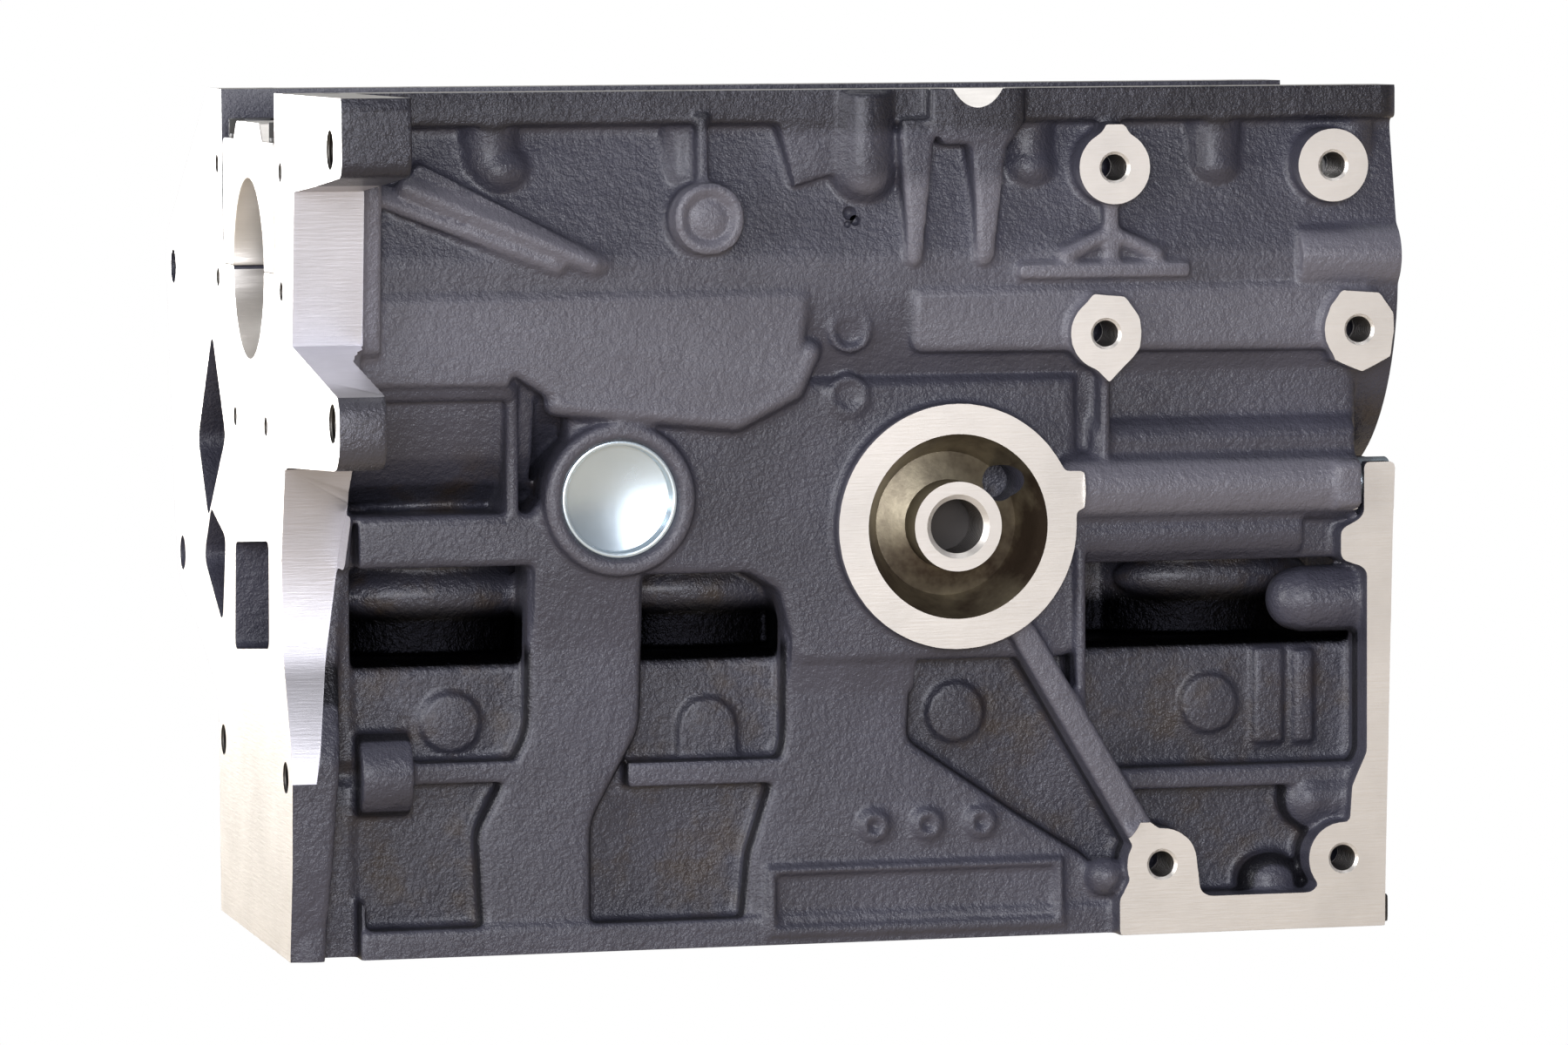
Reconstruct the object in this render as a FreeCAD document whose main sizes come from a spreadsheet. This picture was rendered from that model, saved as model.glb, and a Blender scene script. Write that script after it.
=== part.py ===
import FreeCAD, Part
import math
import os
from types import SimpleNamespace

import Sketcher
from FreeCAD import Placement, Rotation, Vector

# Four-cylinder in-line engine block with its main bearing caps.
# X runs along the crankshaft, flywheel end at -X.  The deck lies on Z = 0 and
# the sump rail is on top, as the block stands on a bench.  The oil filter side
# is -Y and is called the near side; +Y is the far side.

SIZES = {
    # overall form
    "bore_diameter": 81,
    "bore_spacing": 88,
    "crank_height": 220,  # crankshaft axis above the deck
    "skirt_depth": 58,  # crankshaft axis to the sump rail
    "deck_half_width": 68,
    "deck_thickness": 9,
    "rail_half_width": 74,
    "rail_thickness": 11,
    # cylinder block and water jacket
    "barrel_wall": 6.5,
    "jacket_gap": 5,
    "jacket_half_width": 57,
    "jacket_height": 96,
    # crankcase
    "chamber_half_width": 70,
    "crankcase_wall": 5,
    "web_thickness": 10,
    # main bearings
    "bearing_width": 18,
    "main_bore_diameter": 59,
    "cap_width": 100,
    "cap_height": 42,
    "cap_clearance": 0.05,
    "cap_side_room": 4,  # how much wider the crankcase mouth is than a cap
    "cap_bolt_spacing": 78,
    "cap_bolt_diameter": 10,
    "bolt_clearance": 0.5,
    "thread_clearance": 0.1,
    "bolt_reach": 42,
    "bolt_head_height": 6.5,
    "bolt_head_flats": 15,
    # flywheel end
    "flange_thickness": 22,
    "flange_reach": 170,
    "flange_bolt_diameter": 12,
    # near side planes, measured out from the crankshaft plane
    "broad_plane": 71,
    "panel_plane": 76,
    "filter_plane": 78,
    "bracket_plane": 80,
    "foot_plane": 76,
    # oil filter seat
    "filter_seat_diameter": 80,
    "filter_recess_diameter": 60,
    "filter_boss_diameter": 29,
    "filter_thread_diameter": 17.5,
    "filter_recess_depth": 10,
    # plugs, bolts and small holes
    "core_plug_diameter": 38,
    "core_plug_depth": 7,
    "core_plug_sheet": 1.6,
    "far_plug_diameter": 34,
    "gallery_diameter": 10,
    "gallery_plug_diameter": 16,
    "gallery_plug_length": 12,
    "bracket_boss_diameter": 24,
    "bracket_thread_diameter": 8.5,
    "bracket_hole_depth": 24,
    "head_bolt_diameter": 11,
    "head_bolt_depth": 78,
    "head_bolt_spacing": 88,
    "coolant_hole_diameter": 4.6,
    "rail_thread_diameter": 6,
    "rail_hole_depth": 16,
    "carrier_hole_depth": 12,
    # cast form
    "cast_corner": 5,
    "cast_edge": 2.5,
    "rib_edge": 0.8,
}


class Size:
    """A length with the spreadsheet expression that gives it."""

    def __init__(self, value, text):
        self.value = float(value)
        self.text = text

    def _join(self, other, sign, result):
        return Size(result, f"({self.text} {sign} {size_of(other).text})")

    def __add__(self, other):
        return self._join(other, "+", self.value + size_of(other).value)

    def __sub__(self, other):
        return self._join(other, "-", self.value - size_of(other).value)

    def __mul__(self, other):
        return self._join(other, "*", self.value * size_of(other).value)

    def __truediv__(self, other):
        return self._join(other, "/", self.value / size_of(other).value)

    def __neg__(self):
        return Size(-self.value, f"(-{self.text})")

    def __radd__(self, other):
        return size_of(other) + self

    def __rsub__(self, other):
        return size_of(other) - self


def size_of(number):
    return number if isinstance(number, Size) else Size(number, repr(float(number)))


doc = FreeCAD.newDocument("engine_block")
sheet = doc.addObject("Spreadsheet::Sheet", "sizes")
for row, (alias, value) in enumerate(SIZES.items(), start=1):
    sheet.set(f"A{row}", alias)
    sheet.set(f"B{row}", str(value))
    sheet.setAlias(f"B{row}", alias)
doc.recompute()
s = SimpleNamespace(**{alias: Size(value, f"sizes.{alias}") for alias, value in SIZES.items()})


# ---------------------------------------------------------------- helpers

TURN = {
    # the plane that a sketch lies on, and the way that it faces
    "side": Rotation(Vector(1, 0, 0), 90),  # X right, Z up, faces -Y
    "end": Rotation(Vector(1, 1, 1), 120),  # Y right, Z up, faces +X
    "top": Rotation(),  # X right, Y up, faces +Z
}


def bind(thing, name, size):
    thing.setExpression(name, size_of(size).text)


def put(thing, turn, x, y, z):
    where = [size_of(v) for v in (x, y, z)]
    thing.Placement = Placement(Vector(*[v.value for v in where]), turn)
    for axis, v in zip("xyz", where):
        thing.setExpression(f"Placement.Base.{axis}", v.text)


def put_on(thing, view, at):
    """Lay a sketch or a round on its plane: at is N on the side, X on the end, Z on top."""
    x, y, z = {"side": (0, -size_of(at), 0), "end": (at, 0, 0), "top": (0, 0, at)}[view]
    put(thing, TURN[view], x, y, z)


def outline(name, view, at, corners):
    """A fully constrained closed sketch. A corner is (x, y) or (x, y, radius)."""
    sketch = doc.addObject("Sketcher::SketchObject", name)
    count = len(corners)
    points = [Vector(size_of(c[0]).value, size_of(c[1]).value, 0) for c in corners]
    radii = [size_of(c[2]).value if len(c) > 2 else 0 for c in corners]
    starts, ends, middles = [], [], []
    for i, point in enumerate(points):
        back = (points[i - 1] - point).normalize()
        ahead = (points[(i + 1) % count] - point).normalize()
        half = back.getAngle(ahead) / 2
        reach = radii[i] / math.tan(half) if radii[i] else 0
        starts.append(point + back * reach)
        ends.append(point + ahead * reach)
        if radii[i]:
            middles.append(point + (back + ahead).normalize() * (radii[i] / math.sin(half) - radii[i]))
        else:
            middles.append(point)
    lines = [Part.LineSegment(ends[i], starts[(i + 1) % count]) for i in range(count)]
    sketch.addGeometry(lines, False)
    rules, driven = [], []

    def rule(kind, *where, size=None):
        if size is not None:
            driven.append((len(rules), size_of(size).text))
            where = (*where, size_of(size).value)
        rules.append(Sketcher.Constraint(kind, *where))

    for i, corner in enumerate(corners):
        before, after = (i - 1) % count, i
        if not radii[i]:
            rule("Coincident", before, 2, after, 1)
            rule("DistanceX", after, 1, size=corner[0])
            rule("DistanceY", after, 1, size=corner[1])
            continue
        left = (starts[i] - points[i - 1]).cross(points[(i + 1) % count] - points[i]).z > 0
        first, last = (starts[i], ends[i]) if left else (ends[i], starts[i])
        arc = sketch.addGeometry(Part.Arc(first, middles[i], last), False)
        mark = sketch.addGeometry(Part.Point(points[i]), True)
        rule("DistanceX", mark, 1, size=corner[0])
        rule("DistanceY", mark, 1, size=corner[1])
        rule("PointOnObject", mark, 1, before)
        rule("PointOnObject", mark, 1, after)
        rule("Tangent", before, 2, arc, 1 if left else 2)
        rule("Tangent", arc, 2 if left else 1, after, 1)
        rule("Radius", arc, size=corner[2])
    sketch.addConstraint(rules)
    for index, text in driven:
        sketch.setExpression(f"Constraints[{index}]", text)
    put_on(sketch, view, at)
    return sketch


def prism(name, view, start, end, corners):
    """A closed outline pushed out from start to end."""
    sketch = outline(f"{name}_outline", view, start, corners)
    solid = doc.addObject("Part::Extrusion", name)
    solid.Base = sketch
    solid.DirMode = "Normal"
    solid.Solid = True
    bind(solid, "LengthFwd", size_of(end) - start)
    return solid


def box(name, x, y, z):
    solid = doc.addObject("Part::Box", name)
    for side, (low, high) in zip(("Length", "Width", "Height"), (x, y, z)):
        bind(solid, side, size_of(high) - low)
    put(solid, Rotation(), x[0], y[0], z[0])
    return solid


def rod(name, view, place, start, end, diameter, far_diameter=None):
    """A round along the view's own direction, or a cone when the far end differs."""
    solid = doc.addObject("Part::Cylinder" if far_diameter is None else "Part::Cone", name)
    if far_diameter is None:
        bind(solid, "Radius", size_of(diameter) / 2)
    else:
        bind(solid, "Radius1", size_of(diameter) / 2)
        bind(solid, "Radius2", size_of(far_diameter) / 2)
    bind(solid, "Height", size_of(end) - start)
    a, b = place
    x, y, z = {
        "side": (a, -size_of(start), b),
        "end": (start, a, b),
        "top": (a, b, start),
    }[view]
    put(solid, TURN[view], x, y, z)
    return solid


def fuse(name, things):
    joined = doc.addObject("Part::MultiFuse", name)
    joined.Shapes = things
    return joined


def cut(name, base, tools):
    left = doc.addObject("Part::Cut", name)
    left.Base = base
    left.Tool = tools[0] if len(tools) == 1 else fuse(f"{name}_tools", tools)
    return left


def common(name, things):
    shared = doc.addObject("Part::MultiCommon", name)
    shared.Shapes = things
    return shared


def rounded(name, base, radius, chosen):
    """Fillet the edges of a plain solid that chosen(edge) picks."""
    base.recompute(True)
    solid = doc.addObject("Part::Fillet", name)
    solid.Base = base
    value = size_of(radius).value
    picked = [i for i, edge in enumerate(base.Shape.Edges, start=1) if chosen(edge)]
    solid.Edges = [(i, value, value) for i in picked]
    return solid


def at_depth(depth):
    """Pick the edges that lie wholly in the near side plane at this depth."""
    y = -size_of(depth).value
    return lambda edge: all(abs(v.Y - y) < 1e-4 for v in edge.Vertexes)


# ---------------------------------------------------------------- shared places

crank = s.crank_height
rail = s.crank_height + s.skirt_depth
end_wall = s.bearing_width / 2
nose = s.bore_spacing * 2 + end_wall  # timing face; the flywheel face is at -nose
cylinders = [s.bore_spacing * (n - 1.5) for n in range(4)]
webs = [s.bore_spacing * (n - 2) for n in range(5)]
barrel_diameter = s.bore_diameter + s.barrel_wall * 2
jacket_diameter = barrel_diameter + s.jacket_gap * 2
barrel_foot = crank - 58
inner = s.jacket_half_width - 14  # relief pads start inside the jacket wall
mouth = (s.cap_width + s.cap_side_room) / 2  # half width of the crankcase mouth
rail_line = (mouth + s.rail_half_width) / 2  # sump bolts run down the middle of the rail
parting = crank
cap_top = crank + s.cap_height
filter_place = (webs[2] + 34, crank - 84)
plug_place = (webs[1] + 10.5, crank - 73)


# ---------------------------------------------------------------- cast body

def cast_body():
    outer = s.chamber_half_width + s.crankcase_wall
    things = [
        prism("deck_plate", "top", 0, s.deck_thickness, [
            (-nose, -s.deck_half_width, 6),
            (nose, -s.deck_half_width, 6),
            (nose, s.deck_half_width, 6),
            (-nose, s.deck_half_width, 6),
        ]),
        prism("jacket_wall", "end", -nose, nose, [
            (-s.jacket_half_width, 0),
            (s.jacket_half_width, 0),
            (s.jacket_half_width, s.jacket_height, 6),
            (-s.jacket_half_width, s.jacket_height, 6),
        ]),
        prism("crankcase", "end", -nose, nose, [
            (-outer + 9, rail),
            (-outer + 9, rail - s.rail_thickness - 3),
            (-outer, crank + 4, 20),
            (-outer, crank - outer, outer - 4),
            (outer, crank - outer, outer - 4),
            (outer, crank + 4, 20),
            (outer - 9, rail - s.rail_thickness - 3),
            (outer - 9, rail),
        ]),
        prism("sump_rail", "top", rail - s.rail_thickness, rail, [
            (-nose, -s.rail_half_width, 6),
            (nose, -s.rail_half_width, 6),
            (nose, s.rail_half_width, 6),
            (-nose, s.rail_half_width, 6),
        ]),
        box("spine", (-nose, nose), (-30, 30), (s.jacket_height - 10, crank - 50)),
    ]
    for n, x in enumerate(cylinders, start=1):
        things.append(rod(f"barrel_{n}", "top", (x, 0), s.jacket_height - 10, barrel_foot, barrel_diameter))
    return things


def near_relief():
    """The raised columns, ribs and panels of the oil filter side."""
    w1, w2, w3 = webs[1], webs[2], webs[3]
    side = s.deck_half_width - 1
    broad = s.broad_plane
    things = []

    def pad(name, plane, corners, edge=s.cast_edge):
        solid = prism(name, "side", inner, plane, corners)
        things.append(rounded(f"{name}_soft", solid, edge, at_depth(plane)))

    corner = s.cast_corner
    pad("column_a", side, [
        (w1 - 34, 0), (w1 - 36, 40, 14), (w1 - 19, 72, 20), (w1 - 18, crank - 90), (w1 + 20, crank - 90),
        (w1 + 18.5, 72, 20), (w1 + 2, 42, 20), (w1 + 2, 0),
    ])
    pad("column_b", side, [
        (w2 - 37, 0), (w2 - 34, 30, 20), (w2 - 22, 66, 14), (w2 - 21, crank - 90), (w2 + 24, crank - 90),
        (w2 + 20, 66, corner), (w2 + 58, 40, 20), (w2 + 80, 26, 8), (w2 + 92, 11, 4), (w2 + 92, 0),
    ])
    pad("broad_area", broad, [
        (w1 - 18, crank - 98, corner), (w1 - 18, crank - 76, corner), (w1 - 6, crank - 66, corner),
        (w1 - 6, crank - 36), (w3 - 12, crank - 36), (w3 - 12, s.jacket_height - 4, corner),
        (w2 - 18, s.jacket_height - 4, corner), (w2 - 24, crank - 104, corner), (w2 - 34, crank - 98, corner),
    ])
    pad("upper_panel_left", s.panel_plane, [
        (-nose + 8, crank - 6, 4), (-nose + 8, crank - 31, 4), (w1 - 24, crank - 33, corner),
        (w1 - 10, crank - 42, corner), (w2 - 36, crank - 48, 10), (w2 - 18, crank - 38, 10), (w2 - 14, crank - 6, 4),
    ])
    pad("upper_panel_right", s.panel_plane, [
        (w2 + 19, crank - 6, 4), (w2 + 19, crank - 27.5, 4), (nose - 8, crank - 29, 4), (nose - 8, crank - 6, 4),
    ])
    pad("ledge_left", broad, [
        (-nose + 6, crank - 94), (-nose + 6, crank - 77, 3), (w1 - 12, crank - 77, 3), (w1 - 12, crank - 94),
    ])
    pad("recess_rim", broad, [
        (w1 - 26, crank - 80), (w1 - 26, crank - 30), (w1 - 22, crank - 30), (w1 - 22, crank - 80),
    ], s.rib_edge)
    pad("recess_rib", s.panel_plane, [
        (-nose + 6, crank - 35, 1.5), (w1 - 25, crank - 36, 2), (w1 - 25, crank - 31, 2), (-nose + 6, crank - 28, 1.5),
    ], s.rib_edge)
    pad("rib_left", side, [
        (-nose + 4, 56), (w1 - 20, 56), (w1 - 20, 63), (-nose + 4, 63),
    ], s.rib_edge)
    pad("rib_middle", side, [
        (w2 - 74, 53), (w2 - 20, 53), (w2 - 20, 61), (w2 - 74, 61),
    ], s.rib_edge)
    pad("rib_right", side + 2, [
        (w3 + 2, 47), (nose - 8, 47), (nose - 8, 54), (w3 + 2, 54),
    ], s.rib_edge)
    pad("pillar_filter", broad + 3, [
        (w3 - 13, 61), (w3 - 13, crank - 64), (w3 - 9.5, crank - 64), (w3 - 9.5, 61),
    ], s.rib_edge)
    pad("pillar_bracket", broad + 4, [
        (w3 - 5, crank - 66), (w3 - 5, crank - 30), (w3 - 1.5, crank - 30), (w3 - 1.5, crank - 66),
    ], s.rib_edge)
    pad("shelf_right", broad - 3, [
        (w3 - 13, s.jacket_height + 26), (w3 - 13, crank - 26), (nose - 12, crank - 26), (nose - 12, s.jacket_height + 26),
    ])
    pad("filter_strut", s.foot_plane, [
        (w2 + 52, 100, 2), (w2 + 60, 104, 2), (w3 + 16, 31, 2), (w3 + 8, 25, 2),
    ], s.rib_edge)
    things.append(prism("column_a_slope", "end", w1 - 17, w1 + 18, [
        (-inner, 98), (-side, 98), (-broad + 0.2, crank - 97), (-inner, crank - 97),
    ]))
    things.append(prism("column_b_slope", "end", w2 - 20, w2 + 22, [
        (-inner, s.jacket_height - 14), (-side, s.jacket_height - 14), (-broad + 0.2, s.jacket_height + 3),
        (-inner, s.jacket_height + 3),
    ]))
    things.append(prism("deck_corner", "side", inner, side - 0.5, [
        (-nose, 0), (-nose + 25, 0), (-nose + 25, 20, corner), (-nose, 20),
    ]))
    return things


def near_tubes():
    """Cast-in oil passages that stand out of the wall towards the timing end."""
    low, high = webs[3] - 17, nose - 14
    return [
        rod("gallery_tube", "end", (-s.broad_plane + 4, crank - 73), low, high, 24),
        rod("return_tube", "end", (-s.broad_plane + 6, crank - 88), low, high - 18, 18),
        rod("shelf_bead", "end", (-s.broad_plane + 6, crank - 58), low + 10, high, 16),
        rod("flange_tube_left", "end", (-59, 59), -nose, -nose + 40, 27),
        rod("front_tube_high", "end", (-60, 108), nose - 30, nose - 4, 22),
        rod("front_tube_low", "end", (-60, 42), nose - 30, nose - 4, 22),
    ]


def seat_corners():
    """The foot of the bracket face: an L along the deck and up the timing end."""
    w3 = webs[3]
    return [
        (w3 + 1, 0.8), (w3 + 1, 12, 3), (w3 + 5.5, 20, 3), (w3 + 5.5, 34, 9.5), (w3 + 26, 34, 9.5),
        (w3 + 29, 12, 4), (nose - 28, 12, 4), (nose - 26, 27, 4), (nose - 17, 33, 4), (nose - 16, 47, 3),
        (nose - 11, 58, 3), (nose - 11, 119, 3), (nose - 20, 122, 3), (nose - 20, 132, 3), (nose - 12, 136, 4),
        (nose - 12, crank - 66, 1), (nose - 1.5, crank - 66, 1), (nose - 4.5, 9, 1), (nose - 4.5, 0.8),
    ]


def bracket_bosses():
    """Places of the six accessory bracket bolts, with the plane that each is faced to."""
    w3 = webs[3]
    return {
        "upper_inner": (w3 - 1.5, crank + 32, s.bracket_plane),
        "upper_outer": (nose - 24, crank + 32, s.bracket_plane),
        "middle_inner": (w3 - 4.5, crank - 22, s.bracket_plane),
        "middle_outer": (nose - 15, crank - 22, s.bracket_plane),
        "foot_inner": (w3 + 15.5, 23, s.foot_plane),
        "foot_outer": (nose - 19, 23, s.foot_plane),
    }


def near_bosses():
    things = []
    for name, (x, z, plane) in bracket_bosses().items():
        start = inner if plane is s.foot_plane else s.chamber_half_width - 18
        things.append(rod(f"bracket_boss_{name}", "side", (x, z), start, plane, s.bracket_boss_diameter))
    things.append(prism("bracket_foot", "side", inner, s.foot_plane, seat_corners()))
    fx, fz = filter_place
    things.append(rod("filter_boss", "side", (fx, fz), inner, s.filter_plane, s.filter_seat_diameter))
    px, pz = plug_place
    things.append(rod("plug_boss", "side", (px, pz), inner, s.broad_plane + 3, s.core_plug_diameter + 12))
    return things


def rail_bosses():
    """Bolt bosses under the sump rail, on both sides, and the pads of the near wall."""
    things = []
    for n, (x, diameter, drop) in enumerate(rail_bolt_rows(), start=1):
        for side, y in (("near", -rail_line), ("far", rail_line)):
            things.append(rod(f"rail_boss_{side}_{n}", "top", (x, y), rail - drop, rail, diameter))
    return things


def rail_bolt_rows():
    """Along the rail: place, boss diameter and boss depth of each sump bolt."""
    w1, w2, w3 = webs[1], webs[2], webs[3]
    return [
        (-nose + 17, 18, 24), (w1 - 30, 20, 25), (w1 + 33, 16, 27), (w2 + 4, 21, 27),
        (w2 + 61, 18, 27), (w3 + 36, 20, 27), (nose - 13, 16, 22),
    ]


def wall_details():
    """Ribs and small bosses of the near crankcase wall, between the rail and the panel."""
    w1, w2, w3 = webs[1], webs[2], webs[3]
    plane = s.rail_half_width + 2
    start = s.chamber_half_width - 14
    things = [
        prism("gusset_long", "side", start, plane, [
            (-nose + 38, crank + 30, 2), (w1 + 2, crank - 1, 2), (w1 + 9, crank + 3, 2), (-nose + 42, crank + 36, 2),
        ]),
        prism("gusset_short", "side", start, plane - 1, [
            (-nose + 20, crank + 28, 1), (w1 - 12, crank - 1, 1), (w1 - 9, crank + 4, 1), (-nose + 23, crank + 33, 1),
        ]),
        prism("tapered_rib_left", "side", start, plane + 1, [
            (w2 + 18, crank + 1, 2), (w2 + 22, crank + 1, 2), (w2 + 25, rail - 10), (w2 + 16, rail - 10),
        ]),
        prism("tapered_rib_right", "side", start, plane + 1, [
            (w2 + 41, crank + 1, 2), (w2 + 45.5, crank + 1, 2), (w2 + 50, rail - 10), (w2 + 40, rail - 10),
        ]),
        prism("dipstick_boss", "side", start, plane + 2, [
            (w2 + 32, crank + 42, 4), (w2 + 54, crank + 42, 4), (w2 + 53, rail), (w2 + 31, rail),
        ]),
        prism("bracket_shelf", "side", start, s.panel_plane + 2, [
            (w3 - 33, crank - 4, 1.5), (w3 + 25, crank - 4, 1.5), (w3 + 25, crank + 1, 1.5), (w3 - 33, crank + 1, 1.5),
        ]),
        prism("bracket_shelf_rib", "side", start, s.panel_plane + 1, [
            (w3 - 4, crank), (w3 + 1, crank), (w3 + 1, crank + 26), (w3 - 4, crank + 26),
        ]),
        rod("round_boss", "side", (w1 + 38, crank + 17), start, plane + 1, 23),
        prism("round_boss_rib", "side", start, plane, [
            (w1 + 36, crank + 20), (w1 + 40, crank + 20), (w1 + 40, rail - 8), (w1 + 36, rail - 8),
        ]),
        rod("oil_way_boss", "end", (-s.panel_plane + 9, crank + 2), nose - 34, nose, 24),
    ]
    return things


# ---------------------------------------------------------------- flywheel end

def flange():
    """Bell housing flange: two bolt arms on the near side and one wide wing on the far side."""
    reach = s.flange_reach
    foot = s.deck_half_width - 2
    corners = [
        (-foot, 0), (foot + 4, 0), (foot + 4, 74, 12), (reach - 42, 100, 14), (reach - 22, 104, 10),
        (reach - 12, crank - 96, 10), (reach, crank - 16, 10), (reach, crank + 6, 10),
        (s.rail_half_width + 4, rail, 4), (-reach - 2, rail, 3), (-reach - 2, crank + 34, 5),
        (-88, crank + 27, 4), (-82, crank - 21, 4), (-reach + 6, crank - 33, 8), (-reach + 6, crank - 56, 10),
        (-foot, crank - 61, 6), (-foot + 8, crank - 90, 20), (-foot + 6, 96, 20), (-foot - 8, 66, 20), (-foot - 6, 30, 10),
    ]
    return [
        prism("flange", "end", -nose, -nose + s.flange_thickness, corners),
    ]


def flange_pockets():
    """Cast windows in the flange and the tapering of its lower part."""
    depth = s.flange_thickness - 8
    start = -nose - 1
    end = -nose + depth
    thin = -nose + 11
    return [
        prism("window_upper", "end", start, end, [
            (50, crank - 58, 4), (88, crank - 88, 4), (108, crank - 62, 6), (76, crank - 24, 4),
        ]),
        prism("window_lower", "end", start, end, [
            (52, crank - 92, 4), (60, 98, 4), (98, 118, 5), (82, crank - 84, 4),
        ]),
        prism("window_middle", "end", start, end, [
            (-32, 98, 3), (35, 92, 3), (32, crank - 92, 3), (-33, crank - 87, 3),
        ]),
        prism("flange_relief", "side", s.jacket_half_width + 1, s.flange_reach, [
            (thin, -1), (-nose + s.flange_thickness + 1, -1), (-nose + s.flange_thickness + 1, crank - 60),
            (-nose + s.flange_thickness, crank - 62),
        ]),
        prism("flange_relief_far", "side", -s.flange_reach, -s.jacket_half_width - 1, [
            (thin, -1), (-nose + s.flange_thickness + 1, -1), (-nose + s.flange_thickness + 1, 90),
            (thin, 66),
        ]),
        prism("arm_relief", "side", s.rail_half_width + 8, s.flange_reach, [
            (-nose + 15, crank - 62), (-nose + s.flange_thickness + 1, crank - 62),
            (-nose + s.flange_thickness + 1, crank - 22), (-nose + 15, crank - 25),
        ]),
    ]


# ---------------------------------------------------------------- far side

def far_relief():
    """Plain ribbed side: columns at the head bolts, a ledge, plug bosses and four mount bosses."""
    things = []
    side = s.deck_half_width - 1
    start = s.jacket_half_width - 14
    for n, x in enumerate(webs[1:4], start=1):
        things.append(prism(f"far_column_{n}", "side", -side, -start, [
            (x - 13, 0), (x - 13, crank - 80), (x + 13, crank - 80), (x + 13, 0),
        ]))
    things.append(prism("far_ledge", "side", -s.broad_plane, -start, [
        (-nose + 4, s.jacket_height + 22, 3), (-nose + 4, crank - 82, 3), (nose - 4, crank - 82, 3),
        (nose - 4, s.jacket_height + 22, 3),
    ]))
    for n, x in enumerate(cylinders, start=1):
        things.append(rod(f"far_plug_boss_{n}", "side", (x, 58), -s.jacket_half_width - 5, -start, s.far_plug_diameter + 12))
    for n, (x, z) in enumerate(mount_places(), start=1):
        things.append(rod(f"mount_boss_{n}", "side", (x, z), -s.bracket_plane, -start, s.bracket_boss_diameter + 2))
    for n, x in enumerate(webs[1:4], start=1):
        things.append(prism(f"far_rib_{n}", "side", -s.panel_plane, -start - 4, [
            (x - 3, crank - 84), (x - 3, rail - 6), (x + 3, rail - 6), (x + 3, crank - 84),
        ]))
    return things


def mount_places():
    w2, w3 = webs[2], webs[3]
    return [(w2 + 14, crank - 30), (w2 + 14, crank + 28), (w3 + 6, crank - 30), (w3 + 6, crank + 28)]


# ---------------------------------------------------------------- inside

def chambers():
    """The four crankcase bays between the bearing webs."""
    half = s.chamber_half_width
    things = []
    for n, x in enumerate(cylinders, start=1):
        gap = (s.bore_spacing - s.web_thickness) / 2
        things.append(prism(f"chamber_{n}", "end", x - gap, x + gap, [
            (-mouth, rail + 1), (-mouth, rail - 14, 6), (-half, crank + 4, 20),
            (-half, crank - half, half - 4), (half, crank - half, half - 4), (half, crank + 4, 20),
            (mouth, rail - 14, 6), (mouth, rail + 1),
        ]))
    return things


def saddles():
    half = s.cap_width / 2 + 3
    things = []
    for n, x in enumerate(webs, start=1):
        things.append(prism(f"saddle_{n}", "end", x - s.bearing_width / 2, x + s.bearing_width / 2, [
            (-half, parting), (-half, crank - 28, 6), (-34, crank - 46, 8), (34, crank - 46, 8),
            (half, crank - 28, 6), (half, parting),
        ]))
    return things


def water_jacket():
    """Coolant space around the four joined barrels, closed by the deck and the jacket floor."""
    low, high = s.deck_thickness, s.jacket_height - 7
    outside = fuse("jacket_outside", [
        rod(f"jacket_outside_{n}", "top", (x, 0), low, high, jacket_diameter) for n, x in enumerate(cylinders, start=1)
    ])
    inside = [rod(f"jacket_inside_{n}", "top", (x, 0), low - 1, high + 1, barrel_diameter)
              for n, x in enumerate(cylinders, start=1)]
    ring = cut("jacket_ring", outside, inside)
    room = box("jacket_room", (-nose + 4.5, nose - 4.5), (-80, 80), (low - 2, high + 2))
    return [common("water_jacket", [ring, room])]


def bores():
    things = [rod(f"bore_{n}", "top", (x, 0), -1, crank - 50, s.bore_diameter) for n, x in enumerate(cylinders, start=1)]
    things.append(rod("main_bore", "end", (0, crank), -nose - 1, nose + 1, s.main_bore_diameter))
    half = s.cap_width / 2
    things.append(prism("cap_channel", "end", -nose - 1, nose + 1, [
        (-half, parting), (half, parting), (half, parting + 6, 0.5), (mouth, parting + 8, 0.5),
        (mouth, rail + 1), (-mouth, rail + 1), (-mouth, parting + 8, 0.5),
        (-half, parting + 6, 0.5),
    ]))
    for n, x in enumerate(webs, start=1):
        for side, y in (("near", -s.cap_bolt_spacing / 2), ("far", s.cap_bolt_spacing / 2)):
            things.append(rod(f"cap_thread_{side}_{n}", "top", (x, y), parting - s.bolt_reach - 4, parting + 1,
                              s.cap_bolt_diameter + s.thread_clearance * 2))
            things.append(rod(f"head_thread_{side}_{n}", "top", (x, y * s.head_bolt_spacing / s.cap_bolt_spacing),
                              -1, s.head_bolt_depth, s.head_bolt_diameter))
    ring = s.bore_diameter / 2 + s.barrel_wall + s.jacket_gap / 2
    for n, x in enumerate(cylinders, start=1):
        for side, y in (("near", -ring), ("far", ring)):
            things.append(rod(f"coolant_hole_{side}_{n}", "top", (x, y), -1, s.deck_thickness + 1, s.coolant_hole_diameter))
    return things


# ---------------------------------------------------------------- machining

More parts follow.
